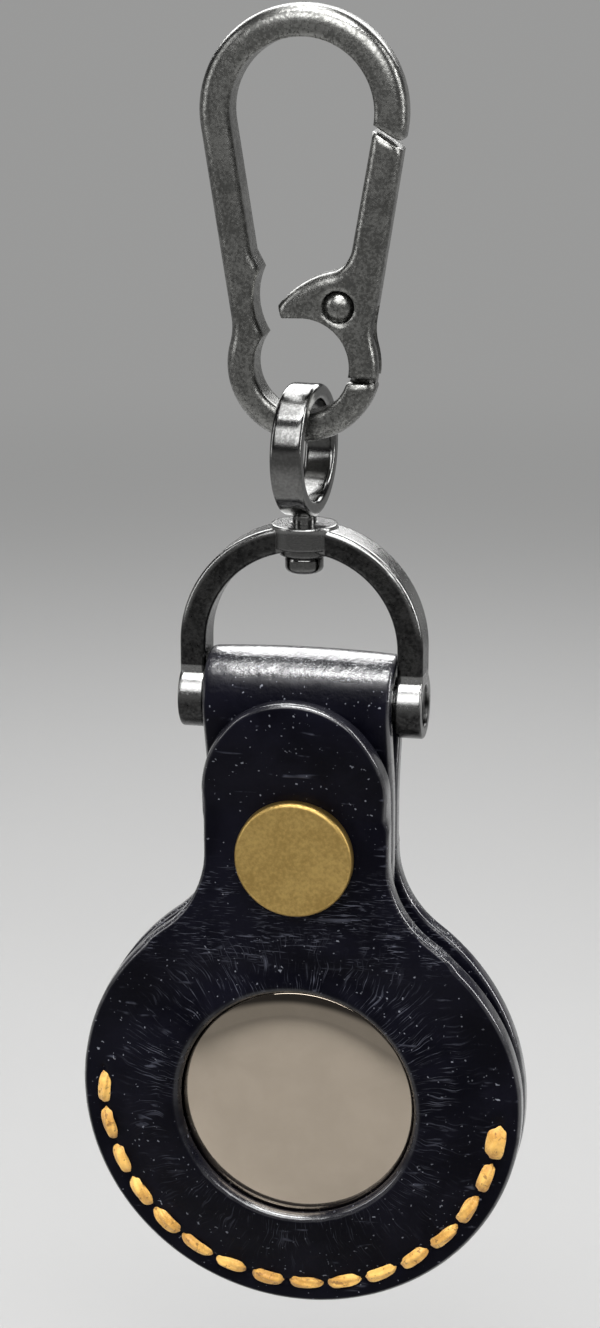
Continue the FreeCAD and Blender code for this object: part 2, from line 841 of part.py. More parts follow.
def make_steel_cover():
    """Polished cover, faintly crowned, with a skirt and three tabs that turn under the lip."""
    rim_y = -tag_half + cover_crown
    sphere = (cover_radius * cover_radius + cover_crown * cover_crown) / (cover_crown + cover_crown)
    half_angle = math.asin(cover_radius / sphere) / 2
    sag = sphere * (1 - math.cos(half_angle))
    middle = point(sphere * math.sin(half_angle), -tag_half + sag, 0)
    skirt_y = rim_y + cover_skirt
    inner = cover_radius - cover_wall
    floor_y = rim_y + cover_wall
    cover = turned(
        disc_z,
        point(0, floor_y, 0),
        point(inner, floor_y, 0),
        point(inner, skirt_y, 0),
        point(cover_radius, skirt_y, 0),
        point(cover_radius, rim_y, 0),
        (middle, point(0, -tag_half, 0)),
    )
    for index in range(tab_count):
        turn = 90 + index * 360 / tab_count
        reach = cover_radius + tab_reach
        cover = cover.fuse(sector(inner, reach, turn, tab_sweep_deg, skirt_y - tab_thickness, skirt_y))
    return cover


cell_front_y = -tag_half + cover_crown + cover_wall + cell_gap
cell_back_y = cell_front_y + cell_height
tray_back_y = cell_back_y + contact_thickness + tray_floor
board_back_y = tray_back_y + board_thickness


def make_coin_cell():
    cell = rod_y(cell_radius, 0, disc_z, cell_front_y, cell_back_y)
    return cell.makeFillet(cell_round, rim_edges(cell, cell_front_y, cell_back_y))


def make_tag_tray():
    """Tray that seats the cell."""
    bore = cell_radius + cell_gap
    front = cell_back_y - tray_wall_height
    tray = rod_y(bore + tray_wall, 0, disc_z, front, tray_back_y)
    return tray.cut(rod_y(bore, 0, disc_z, front - overrun, tray_back_y - tray_floor))


def make_battery_contacts():
    """Leaf contacts on the tray's floor."""
    row = []
    half_width = contact_width / 2
    half_length = contact_length / 2
    back_y = cell_back_y + contact_thickness
    for index in range(contact_count):
        leaf = block(
            point(contact_radius - half_length, cell_back_y, disc_z - half_width),
            point(contact_radius + half_length, back_y, disc_z + half_width),
        )
        leaf.rotate(point(0, 0, disc_z), y_axis, index * 360 / contact_count)
        row.append(leaf)
    return Part.makeCompound(row)


def make_circuit_board():
    """Ring-shaped board behind the tray."""
    board = rod_y(board_radius, 0, disc_z, tray_back_y, board_back_y)
    return board.cut(rod_y(board_bore, 0, disc_z, tray_back_y - overrun, board_back_y + overrun))


def make_speaker_magnet():
    return rod_y(magnet_radius, 0, disc_z, tray_back_y, tray_back_y + magnet_height)


def make_voice_coil():
    """Coil on the inside of the dome, facing the magnet."""
    front = tray_back_y + magnet_height + cell_gap
    back = tag_half - tag_wall
    coil = rod_y(coil_radius, 0, disc_z, front, back)
    coil = coil.cut(rod_y(coil_radius - coil_wall, 0, disc_z, front - overrun, back + overrun))
    return coil.common(tag_body(-tag_wall))


front_panel, front_flap = split_front_sheet()
pieces = {
    "carabiner_frame": make_carabiner_frame(),
    "carabiner_gate": make_gate(),
    "gate_rivet": make_gate_rivet(),
    "gate_spring": make_gate_spring(),
    "swivel_ring": make_swivel_ring(),
    "swivel_washer": make_swivel_washer(),
    "shackle_bow": make_shackle_bow(),
    "screw_pin": make_screw_pin(),
    "back_leather": make_back_leather(),
    "front_panel": front_panel,
    "front_flap": front_flap,
    "snap_cap": make_snap_cap(),
    "snap_socket": make_snap_socket(),
    "snap_spring_ring": make_snap_spring_ring(),
    "snap_stud": make_snap_stud(),
    "snap_post": make_snap_post(),
    "front_stitches": make_stitches(-leather_thickness - stitch_height),
    "back_stitches": make_stitches(leather_thickness),
    "tag_shell": make_tag_shell(),
    "steel_cover": make_steel_cover(),
    "coin_cell": make_coin_cell(),
    "tag_tray": make_tag_tray(),
    "battery_contacts": make_battery_contacts(),
    "circuit_board": make_circuit_board(),
    "speaker_magnet": make_speaker_magnet(),
    "voice_coil": make_voice_coil(),
}

os.makedirs("parts", exist_ok=True)
for name, shape in pieces.items():
    shape.exportStep("parts/" + name + ".step")
    print(name, len(shape.Solids), shape.isValid(), round(shape.Volume, 2))
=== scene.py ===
import json
import math
import random

import bmesh
import bpy
import numpy as np
from mathutils import Matrix, Vector


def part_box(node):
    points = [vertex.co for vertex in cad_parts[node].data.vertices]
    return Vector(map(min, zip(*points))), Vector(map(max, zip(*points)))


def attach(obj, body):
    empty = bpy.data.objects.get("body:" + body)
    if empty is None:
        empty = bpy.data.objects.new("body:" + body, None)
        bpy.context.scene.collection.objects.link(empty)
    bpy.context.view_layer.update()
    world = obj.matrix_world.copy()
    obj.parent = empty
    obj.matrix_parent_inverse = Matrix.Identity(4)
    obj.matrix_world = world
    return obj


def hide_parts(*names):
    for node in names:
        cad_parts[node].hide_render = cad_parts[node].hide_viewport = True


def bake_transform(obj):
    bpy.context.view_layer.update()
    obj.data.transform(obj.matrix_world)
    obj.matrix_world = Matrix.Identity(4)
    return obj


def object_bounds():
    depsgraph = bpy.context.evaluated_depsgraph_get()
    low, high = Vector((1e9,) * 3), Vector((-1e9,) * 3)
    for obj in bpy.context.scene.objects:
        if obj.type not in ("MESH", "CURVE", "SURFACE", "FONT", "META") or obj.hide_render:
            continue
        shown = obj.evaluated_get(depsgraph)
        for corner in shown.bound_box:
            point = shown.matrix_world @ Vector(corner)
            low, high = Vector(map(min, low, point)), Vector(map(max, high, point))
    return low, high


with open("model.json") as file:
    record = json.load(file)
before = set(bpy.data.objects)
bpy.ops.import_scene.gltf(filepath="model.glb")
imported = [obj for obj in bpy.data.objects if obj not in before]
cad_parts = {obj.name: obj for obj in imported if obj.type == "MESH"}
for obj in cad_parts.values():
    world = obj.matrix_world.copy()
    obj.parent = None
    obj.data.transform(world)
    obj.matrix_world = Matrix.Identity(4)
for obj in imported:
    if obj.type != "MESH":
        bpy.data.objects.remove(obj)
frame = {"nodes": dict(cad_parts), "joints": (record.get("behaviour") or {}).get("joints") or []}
cad_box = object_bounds()

# Metres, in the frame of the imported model: X to the right, Y to the back, Z up,
# with the origin at the inside of the carabiner's crown

# Camera, worked out from the photograph
image_size = (600, 1328)
focal_pixels = 3043
camera_distance = 0.305
camera_height = 0.02095
camera_pitch_deg = 15.6
camera_azimuth_deg = 11.5
axis_pixel = 304.5
sensor_long_side = 0.036

# Leather sheets: outline and thickness
leather_thickness = 0.00235
strap_half = 0.00985
edge_round = 0.0006
window_round = 0.0005
outline_step = 0.0005
neck_fillet = 0.011
window_radius = 0.01255
rim_inner_radius = 0.0194

# Leather sheets: how they stand off the seam plane
window_lift = 0.00365
window_power = 1.35
lip_paring = 0.0009
dome_lift = 0.00415
dome_power = 3
ring_foot_radius = 0.0222
tilt_rise = 0.003
flap_lift = 0.00247
lift_blend = 0.0012
lean_reach = 0.00275
lean_low = 0.01205
lean_high = 0.00055

# Strap: its layers, its loop round the pin, and the rise of its tail above the flap's bend
layer_gap = 0.00005
loop_inner_radius = 0.0028
loop_meet = 0.009
loop_bend = 0.003
loop_crown = 0.00035
tail_rise = 0.0018

# Leather's puckers, creases and dents
pucker_depth = 0.00006
pucker_count = 41
crease_depth = 0.00009
crease_pitch = 0.0014
crease_reach = 0.0038
groove_depth = 0.00012
groove_reach = 0.0008
hole_depth = 0.0004
hole_reach = 0.00038

# Rows of a sheet's mesh: at each rounded edge, between the edges, and across half the strap
round_rows = 6
middle_rows = 34
half_columns = 14

# Where the leather's looks change, each from one place to another: radii round the window,
# heights above the window's centre, above the flap's bend, and above the pin
ray_start = (0.0128, 0.0142)
ray_end = (0.0215, 0.0148)
lip_band = (0.0134, 0.0142)
ray_height = (-0.006, 0.012)
lip_height = (-0.0055, -0.01)
fold_start = (-0.0055, -0.001)
fold_end = (0.0085, 0.004)
coarse_height = (0.0, 0.003)
loop_height = (0.0022, 0.0046)
hairline = (0.54, 0.7)

# Tracker's cover, and how much more its rim looks rolled
cover_radius = 0.01285
cover_shoulder = 0.0065
cover_drop = 0.0004
cover_power = 2.6
cover_wall = 0.0006
cover_roll = 0.0005

# Shackle: its bow's outer radius, the height of the bow's centre above the pin,
# where its turned boss is polished, and where its feet's tops and bow's top carry a painted highlight
bow_radius = 0.0128
bow_leg = 0.006
boss_edge = (0.0026, 0.0025)
boss_height = (0.0118, 0.012)
boss_share = 0.4
foot_start = (-0.0004, 0.0012)
foot_end = (0.0037, 0.0035)
bow_skin = (0.00075, 0.0002)
bow_height = (0.001, 0.004)
polish_and_highlight_gain = 4.2

# Snap's holes in the leather
tube_hole = 0.00165
socket_hole = 0.00505
socket_recess = 0.00125
stud_seat = 0.00365
stud_recess = 0.00055
shank_hole = 0.00115
bore_sides = 64
crisp_angle_deg = 40

# Stitches
stitch_radius = 0.0216
stitch_count = 16
stitch_first_deg = 181.5
stitch_last_deg = 351.2
stitch_length = 0.0041
stitch_width = 0.0015
stitch_flatness = 0.72
stitch_strands = 5
stitch_twist = 2.4
stitch_doubled = 1.5
stitch_rows = 25
stitch_around = 30
stitch_seed = 7

# Floor and backdrop: the tone that they have far off, the darker one overhead,
# and the light that falls from all round
floor_drop = 0.03
floor_half = 8.0
near_floor = 0.12
far_floor = 0.75
backdrop_tone = (0.32, 0.32, 0.317, 1.0)
ceiling_tone = (0.04, 0.04, 0.042, 1.0)
horizon_fade = (0.03, 0.14)
ambient_tone = (0.8, 0.82, 0.85, 1.0)
ambient_strength = 0.06

# Places read from the frame
cover_low, cover_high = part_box("steel_cover")
disc_z = (cover_low.z + cover_high.z) / 2
pin_low, pin_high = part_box("screw_pin")
pin_z = (pin_low.z + pin_high.z) / 2
flap_top_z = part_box("front_flap")[1].z
disc_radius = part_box("back_leather")[1].x
cap_low, cap_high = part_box("snap_cap")
snap_z = (cap_low.z + cap_high.z) / 2
joints = {joint["name"]: joint for joint in frame["joints"]}
bend_z = joints["flap_open"]["pos_m"][2]
tail_z = bend_z + tail_rise


class Graph:
    """Node tree of a material or the world, with short ways to add nodes and join them."""

    def __init__(self, owner):
        owner.use_nodes = True
        self.owner = owner
        self.tree = owner.node_tree

    def put(self, socket, value):
        """Joins another socket to this one, or sets it to a constant."""
        if isinstance(value, bpy.types.NodeSocket):
            self.tree.links.new(value, socket)
        else:
            socket.default_value = value

    def add(self, kind, inputs, **settings):
        node = self.tree.nodes.new(kind)
        for key, value in settings.items():
            setattr(node, key, value)
        for key, value in inputs.items():
            self.put(node.inputs[key], value)
        return node

    def place(self, kind="Object"):
        return self.add("ShaderNodeTexCoord", {}).outputs[kind]

    def axes(self, vector):
        return self.add("ShaderNodeSeparateXYZ", {"Vector": vector}).outputs

    def stretched(self, vector, scale, turn_deg=0.0):
        """Turns the place about Y, then scales it."""
        inputs = {"Vector": vector, "Rotation": (0.0, math.radians(turn_deg), 0.0), "Scale": scale}
        return self.add("ShaderNodeMapping", inputs).outputs["Vector"]

    def noise(self, vector, scale, detail=4.0, roughness=0.55, distortion=0.0):
        inputs = {
            "Vector": vector,
            "Scale": scale,
            "Detail": detail,
            "Roughness": roughness,
            "Distortion": distortion,
        }
        return self.add("ShaderNodeTexNoise", inputs).outputs["Fac"]

    def cells(self, vector, scale):
        return self.add("ShaderNodeTexVoronoi", {"Vector": vector, "Scale": scale}).outputs["Distance"]

    def math(self, operation, first, second=0.0):
        node = self.add("ShaderNodeMath", {0: first, 1: second}, operation=operation)
        return node.outputs["Value"]

    def plus(self, first, second):
        return self.math("ADD", first, second)

    def minus(self, first, second):
        return self.math("SUBTRACT", first, second)

    def times(self, first, second):
        return self.math("MULTIPLY", first, second)

    def larger(self, first, second):
        return self.math("MAXIMUM", first, second)

    def length(self, first, second):
        """Length of a vector with two parts at a right angle."""
        return self.math("SQRT", self.plus(self.times(first, first), self.times(second, second)))

    def span(self, value, low, high, to_low=0.0, to_high=1.0):
        """Maps low..high to to_low..to_high with a smooth step, and holds it outside."""
        inputs = {
            "Value": value,
            "From Min": low,
            "From Max": high,
            "To Min": to_low,
            "To Max": to_high,
        }
        node = self.add("ShaderNodeMapRange", inputs, interpolation_type="SMOOTHSTEP")
        return node.outputs["Result"]

    def mix(self, share, first, second):
        inputs = {"Factor": share, "A": first, "B": second}
        node = self.add("ShaderNodeMix", {}, data_type="RGBA")
        for socket in node.inputs:
            if socket.name in inputs and socket.enabled:
                self.put(socket, inputs[socket.name])
        return next(socket for socket in node.outputs if socket.enabled)

    def bump(self, height, strength, distance, under=None):
        inputs = {"Height": height, "Strength": strength, "Distance": distance}
        if under is not None:
            inputs["Normal"] = under
        return self.add("ShaderNodeBump", inputs).outputs["Normal"]

    def seen(self):
        """1 for what the camera, a mirror or glass looks at, and 0 for light that falls on things."""
        path = self.add("ShaderNodeLightPath", {}).outputs
        share = self.larger(path["Is Camera Ray"], path["Is Glossy Ray"])
        return self.larger(share, path["Is Transmission Ray"])

    def show_mixed(self, share, first, second, output):
        """Sends a mix of two shaders to the tree's output."""
        both = self.add("ShaderNodeMixShader", {0: share, 1: first, 2: second})
        self.put(self.tree.nodes[output].inputs["Surface"], both.outputs["Shader"])

    def finish(self, **inputs):
        """Sets the material's shader and gives back the material."""
        shader = self.tree.nodes["Principled BSDF"]
        for key, value in inputs.items():
            self.put(shader.inputs[key.replace("_", " ")], value)
        return self.owner


def new_material(name):
    return Graph(bpy.data.materials.new(name))


def polish_and_painted_highlight_share(graph, place):
    """Share of brighter colour: polish on the turned boss, and a painted highlight on the tops of the feet
    and the upper part of the bow's outer face.
    """
    axes = graph.axes(place)
    across = graph.math("ABSOLUTE", axes["X"])
    above_pin = graph.minus(axes["Z"], pin_z)
    above_bow = graph.minus(above_pin, bow_leg)
    boss = graph.times(graph.span(across, *boss_edge, 0.0, boss_share), graph.span(above_pin, *boss_height))
    feet = graph.times(graph.span(above_pin, *foot_start), graph.span(above_pin, *foot_end))
    skin_start, skin_end = (bow_radius - depth for depth in bow_skin)
    skin = graph.span(graph.length(across, above_bow), skin_start, skin_end)
    skin = graph.times(skin, graph.span(above_bow, *bow_height))
    return graph.larger(graph.larger(boss, feet), skin)


def metal(name, dark, pale, roughness, patch_scale, grain_strength, edge_soften, polish_and_highlight=None):
    """Cast and plated metal: soft edges, speckled patina, fine grain, and a part made brighter, as polish or
    as a painted highlight.
    """
    graph = new_material(name)
    place = graph.place()
    patch = graph.noise(place, patch_scale, 6.0, 0.62, 0.4)
    speck = graph.noise(place, patch_scale * 9, 3.0, 0.6)
    grain = graph.noise(place, patch_scale * 16, 4.0, 0.65)
    cloud = graph.plus(graph.times(patch, 0.4), graph.times(speck, 0.6))
    colour = graph.mix(graph.span(cloud, 0.4, 0.62), dark, pale)
    if polish_and_highlight is not None:
        # Brighter colour where the share says: polish on the shackle's boss, painted highlight on its feet's
        # tops and bow's top
        bright = tuple(part * polish_and_highlight_gain for part in pale[:3]) + (1.0,)
        colour = graph.mix(polish_and_highlight(graph, place), colour, bright)
    soft = graph.add("ShaderNodeBevel", {"Radius": edge_soften}, samples=16).outputs["Normal"]
    return graph.finish(
        Base_Color=colour,
        Metallic=1.0,
        Roughness=graph.span(cloud, 0.35, 0.68, roughness[1], roughness[0]),
        Normal=graph.bump(grain, grain_strength, 0.00006, soft),
    )


def leather_lines(graph, place, up, radius, broken):
    """Hairlines in the leather: rays out from the window, folds across the flap's bend, and scratches."""
    axes = graph.axes(place)
    turn = graph.math("ARCTAN2", up, axes["X"])
    wavy = graph.times(graph.noise(place, 150.0, 2.0), 0.22)
    ray_parts = {"X": graph.plus(turn, wavy), "Y": graph.times(radius, 3.2), "Z": 0.0}
    ray_place = graph.add("ShaderNodeCombineXYZ", ray_parts).outputs["Vector"]
    rays = graph.span(graph.noise(ray_place, 88.0, 2.0, 0.5), *hairline)
    ray_band = graph.times(graph.span(radius, *ray_start), graph.span(radius, *ray_end))
    ray_band = graph.times(ray_band, graph.span(up, *ray_height, 0.4, 1.0))
    rays = graph.times(rays, ray_band)

    fold_place = graph.stretched(place, (0.12, 0.25, 1.0))
    folds = graph.span(graph.noise(fold_place, 4300.0, 2.0, 0.5, 1.2), *hairline)
    above_bend = graph.minus(axes["Z"], bend_z)
    fold_band = graph.times(graph.span(above_bend, *fold_start), graph.span(above_bend, *fold_end))
    folds = graph.times(folds, fold_band)

    scratch_place = graph.stretched(place, (0.13, 1.0, 1.0), 40.0)
    scratches = graph.span(graph.noise(scratch_place, 1500.0, 1.0, 0.5, 0.2), 0.64, 0.76)
    scratches = graph.times(scratches, graph.span(broken, 0.5, 0.62, 0.0, 0.7))
    lines = graph.larger(graph.larger(rays, folds), scratches)
    return graph.times(lines, graph.span(broken, 0.36, 0.58))


def leather(name):
    """Waxed black leather: pores, hairlines, dust, and burnished edges and loop, which are glossier and
    lightened in colour as a painted sheen.
    """
    graph = new_material(name)
    place = graph.place()
    axes = graph.axes(place)
    up = graph.minus(axes["Z"], disc_z)
    above_pin = graph.minus(axes["Z"], pin_z)
    radius = graph.length(axes["X"], up)
    broken = graph.noise(place, 300.0, 3.0, 0.6)
    lines = leather_lines(graph, place, up, radius, broken)

    pores = graph.cells(graph.stretched(place, (1.0, 1.0, 1.15)), 1700.0)
    hollows = graph.noise(place, 420.0, 5.0, 0.6, 0.8)
    coarse = graph.times(graph.noise(place, 1300.0, 3.0, 0.6), graph.span(above_pin, *coarse_height))
    normal = graph.bump(pores, 0.12, 0.00008)
    normal = graph.bump(hollows, 0.22, 0.0002, normal)
    normal = graph.bump(lines, 0.6, 0.00012, normal)
    normal = graph.bump(coarse, 0.5, 0.00025, normal)

    edge = graph.add("ShaderNodeAttribute", {}, attribute_name="edge").outputs["Fac"]
    shiny = graph.larger(graph.span(edge, 0.01, 0.3), graph.span(above_pin, *loop_height))
    # Full shine on the window's lower lip, where the highlight falls, and about a third of it on the lip's
    # sides and top
    lip_shine = graph.span(up, *lip_height, 0.35, 1.0)
    shiny = graph.times(shiny, graph.span(radius, *lip_band, lip_shine, 1.0))
    burnish_and_painted_sheen = graph.times(shiny, graph.span(broken, 0.3, 0.52, 0.5, 1.0))

    shade = graph.noise(place, 95.0, 4.0, 0.6, 0.5)
    deep, plain = (0.001, 0.001, 0.003, 1.0), (0.0038, 0.0038, 0.0078, 1.0)
    colour = graph.mix(graph.span(shade, 0.36, 0.66), deep, plain)
    colour = graph.mix(graph.times(lines, 0.7), colour, (0.1, 0.104, 0.135, 1.0))
    dust = graph.span(graph.noise(place, 2300.0, 1.0, 0.5), 0.715, 0.76)
    dust = graph.times(dust, graph.span(shade, 0.34, 0.6, 0.25, 1.0))
    colour = graph.mix(graph.times(dust, 0.7), colour, (0.3, 0.31, 0.36, 1.0))
    # Painted sheen: the burnished edges, the loop's top and the window's lower lip are lightened in colour,
    # besides being glossier
    colour = graph.mix(graph.times(burnish_and_painted_sheen, 0.5), colour, (0.02, 0.02, 0.026, 1.0))

    roughness = graph.span(hollows, 0.3, 0.7, 0.15, 0.28)
    return graph.finish(
        Base_Color=colour,
        Roughness=graph.plus(roughness, graph.span(burnish_and_painted_sheen, 0.0, 0.6, 0.18, 0.0)),
        Specular_IOR_Level=graph.span(burnish_and_painted_sheen, 0.0, 1.0, 0.06, 1.0),
        Coat_Weight=graph.times(burnish_and_painted_sheen, 0.8),
        Coat_Roughness=0.22,
        Normal=normal,
    )


def thread(name):
    """Waxed golden thread with fine fibres and brown flecks."""
    graph = new_material(name)
    place = graph.place()
    fibre = graph.noise(place, 3800.0, 3.0, 0.6, 0.3)
    tone = graph.noise(place, 500.0, 3.0, 0.55)
    fleck = graph.noise(place, 1700.0, 2.0, 0.6)
    colour = graph.mix(graph.span(tone, 0.35, 0.65), (0.58, 0.29, 0.05, 1.0), (0.92, 0.54, 0.125, 1.0))
    colour = graph.mix(graph.span(fibre, 0.52, 0.7, 0.0, 0.4), colour, (0.95, 0.62, 0.2, 1.0))
    colour = graph.mix(graph.span(fleck, 0.58, 0.68, 0.0, 0.75), colour, (0.22, 0.09, 0.016, 1.0))
    normal = graph.bump(fibre, 0.45, 0.00008)
    return graph.finish(Base_Color=colour, Roughness=0.55, Sheen_Weight=0.25, Normal=normal)


def brass(name):
    """Antique brass: dull, finely speckled, darker in its pores."""
    graph = new_material(name)
    place = graph.place()
    cloud = graph.noise(place, 260.0, 6.0, 0.65, 0.3)
    speck = graph.noise(place, 2400.0, 4.0, 0.65)
    share = graph.plus(graph.times(cloud, 0.45), graph.times(speck, 0.55))
    dark, pale = (0.365, 0.242, 0.076, 1.0), (0.57, 0.391, 0.134, 1.0)
    return graph.finish(
        Base_Color=graph.mix(graph.span(share, 0.36, 0.64), dark, pale),
        Metallic=1.0,
        Roughness=graph.span(share, 0.35, 0.65, 0.5, 0.38),
        Normal=graph.bump(speck, 0.18, 0.00006),
    )


def polished(name):
    """Mirror steel with a trace of handling haze, rolled over at its rim."""
    graph = new_material(name)
    place = graph.place()
    axes = graph.axes(place)
    haze = graph.noise(place, 220.0, 5.0, 0.6, 0.3)
    fine = graph.noise(graph.stretched(place, (1.0, 1.0, 0.06)), 6000.0, 2.0, 0.5)
    dark, pale = (0.48, 0.41, 0.33, 1.0), (0.515, 0.44, 0.355, 1.0)
    radius = graph.length(axes["X"], graph.minus(axes["Z"], disc_z))
    out = graph.larger(graph.minus(radius, cover_radius - cover_shoulder), 0.0)
    share = graph.math("DIVIDE", out, cover_shoulder)
    roll = graph.times(graph.math("POWER", share, cover_power), -cover_roll)
    normal = graph.bump(roll, 1.0, 1.0)
    return graph.finish(
        Base_Color=graph.mix(graph.span(haze, 0.35, 0.7), dark, pale),
        Metallic=1.0,
        Roughness=graph.span(haze, 0.35, 0.7, 0.05, 0.07),
        Normal=graph.bump(fine, 0.02, 0.00002, normal),
    )


def moulded(name, tone, deep, roughness, metallic=0.0):
    """Moulded or plated inner part with a faint texture."""
    graph = new_material(name)
    place = graph.place()
    cloud = graph.noise(place, 300.0, 4.0, 0.6)
    grain = graph.noise(place, 3000.0, 3.0, 0.6)
    return graph.finish(
        Base_Color=graph.mix(graph.span(cloud, 0.35, 0.65), deep, tone),
        Metallic=metallic,
        Roughness=graph.span(grain, 0.3, 0.7, roughness - 0.05, roughness + 0.05),
        Normal=graph.bump(grain, 0.06, 0.00004),
    )


def dress_nodes():
    """Gives each shown CAD node its finish."""
    gunmetal = metal(
        "gunmetal",
        dark=(0.115, 0.115, 0.11, 1.0),
        pale=(0.29, 0.29, 0.278, 1.0),
        roughness=(0.21, 0.31),
        patch_scale=330.0,
        grain_strength=0.26,
        edge_soften=0.0011,
    )
    black_metal = metal(
        "black_metal",
        dark=(0.022, 0.022, 0.022, 1.0),
        pale=(0.065, 0.065, 0.064, 1.0),
        roughness=(0.16, 0.28),
        patch_scale=330.0,
        grain_strength=0.25,
        edge_soften=0.0004,
        polish_and_highlight=polish_and_painted_highlight_share,
    )
    plating = metal(
        "ring_plating",
        dark=(0.13, 0.13, 0.127, 1.0),
        pale=(0.19, 0.19, 0.187, 1.0),
        roughness=(0.12, 0.17),
        patch_scale=420.0,
        grain_strength=0.06,
        edge_soften=0.0004,
    )
    antique = brass("antique_brass")
    finishes = {
        "carabiner_frame": gunmetal,
        "carabiner_gate": gunmetal,
        "gate_rivet": gunmetal,
        "swivel_washer": black_metal,
        "shackle_bow": black_metal,
        "screw_pin": black_metal,
        "swivel_ring": plating,
        "gate_spring": moulded("spring_steel", (0.5, 0.5, 0.5, 1), (0.35, 0.35, 0.35, 1), 0.3, 1.0),
        "snap_spring_ring": moulded("ring_spring", (0.5, 0.5, 0.5, 1), (0.35, 0.35, 0.35, 1), 0.3, 1.0),
        "snap_cap": antique,
        "snap_socket": antique,
        "snap_stud": antique,
        "snap_post": antique,
        "tag_shell": moulded("white_plastic", (0.82, 0.82, 0.81, 1), (0.76, 0.76, 0.75, 1), 0.2),
        "coin_cell": moulded("cell_steel", (0.6, 0.6, 0.59, 1), (0.5, 0.5, 0.49, 1), 0.32, 1.0),
        "tag_tray": moulded("grey_plastic", (0.55, 0.55, 0.55, 1), (0.48, 0.48, 0.48, 1), 0.5),
        "battery_contacts": moulded("contact_brass", (0.7, 0.54, 0.26, 1), (0.6, 0.44, 0.2, 1), 0.3, 1.0),
        "circuit_board": moulded("board_green", (0.02, 0.1, 0.05, 1), (0.015, 0.07, 0.035, 1), 0.4),
        "speaker_magnet": moulded("magnet", (0.4, 0.4, 0.4, 1), (0.3, 0.3, 0.3, 1), 0.35, 1.0),
        "voice_coil": moulded("coil_copper", (0.6, 0.3, 0.16, 1), (0.48, 0.22, 0.11, 1), 0.35, 1.0),
    }
    for name, material in finishes.items():
        mesh = frame["nodes"][name].data
        mesh.materials.clear()
        mesh.materials.append(material)


def arc(centre_x, centre_z, radius, start_deg, end_deg):
    """Points along an arc, without its last one."""
    steps = max(2, round(abs(math.radians(end_deg - start_deg)) * radius / outline_step))
    turns = np.radians(np.linspace(start_deg, end_deg, steps, endpoint=False))
    return [(centre_x + radius * math.cos(turn), centre_z + radius * math.sin(turn)) for turn in turns]


def straight(start, end):
    """Points along a line, without its last one."""
    steps = max(2, round(math.dist(start, end) / outline_step))
    shares = np.linspace(0, 1, steps, endpoint=False)
    return [tuple(np.array(start) + (np.array(end) - np.array(start)) * share) for share in shares]


def body_outline(neck_z):
    """Right neck side at neck_z, clockwise round the disc, to the left neck side at neck_z."""
    centre_x = strap_half + neck_fillet
    reach = disc_radius + neck_fillet
    rise = math.sqrt(reach * reach - centre_x * centre_x)
    fillet_z = disc_z + rise
    join_deg = math.degrees(math.atan2(rise, centre_x))
    points = straight((strap_half, neck_z), (strap_half, fillet_z))
    points += arc(centre_x, fillet_z, neck_fillet, 180, 180 + join_deg)
    points += arc(0, disc_z, disc_radius, join_deg, -180 - join_deg)
    points += arc(-centre_x, fillet_z, neck_fillet, -join_deg, 0)
    points += straight((-strap_half, fillet_z), (-strap_half, neck_z))
    return points


def smooth_max(first, second, width):
    """The larger of two values, rounded where they meet."""
    gap = np.clip(0.5 + 0.5 * (first - second) / width, 0, 1)
    return second * (1 - gap) + first * gap + width * gap * (1 - gap)


def front_lift(x, z):
    """How far the front sheet's back face stands in front of the seam plane."""
    radius = np.hypot(x, z - disc_z)
    share = np.clip((ring_foot_radius - radius) / (ring_foot_radius - window_radius), 0, 1)
    ring = window_lift * share**window_power
    tilt_z = disc_z + tilt_rise
    bent_z = bend_z - leather_thickness
    slope = np.clip((z - tilt_z) / (bent_z - tilt_z), 0, 1) * flap_lift
    up = np.clip((z - pin_z + lean_low) / (lean_low - lean_high), 0, 1)
    lean = lean_reach * up * up * (3 - 2 * up)
    return smooth_max(ring, slope, lift_blend) + lean


def add_object(name, vertices, faces):
    mesh = bpy.data.meshes.new(name)
    mesh.from_pydata([tuple(vertex) for vertex in vertices], [], faces)
    piece = bpy.data.objects.new(name, mesh)
    bpy.context.scene.collection.objects.link(piece)
    return piece


def dress(piece, material):
    """Shades a piece smoothly and gives it its material."""
    for face in piece.data.polygons:
        face.use_smooth = True
    piece.data.materials.append(material)


def apply_modifiers(piece):
    """Bakes the piece's modifiers into its mesh."""
    bpy.context.view_layer.update()
    graph = bpy.context.evaluated_depsgraph_get()
    mesh = bpy.data.meshes.new_from_object(piece.evaluated_get(graph))
    piece.modifiers.clear()
    piece.data = mesh


def vertex_normals(places, faces):
    """Unit normals of a surface at its vertices."""
    normals = np.zeros_like(places)
    for face in faces:
        first, second, last = places[face[0]], places[face[1]], places[face[-1]]
        direction = np.cross(second - first, last - first)
        for index in face:
            normals[index] += direction
    return normals / np.linalg.norm(normals, axis=1)[:, None]


def rounding(distance, radius):
    """How far a face falls back near an edge that is rounded to a radius."""
    inset = np.clip(radius - distance, 0, radius)
    return radius - np.sqrt(radius * radius - inset * inset)


def edge_distance(places, edge):
    """Distance from each place to the nearest point of an edge."""
    return np.array([np.sqrt(((edge - place) ** 2).sum(1).min()) for place in places])


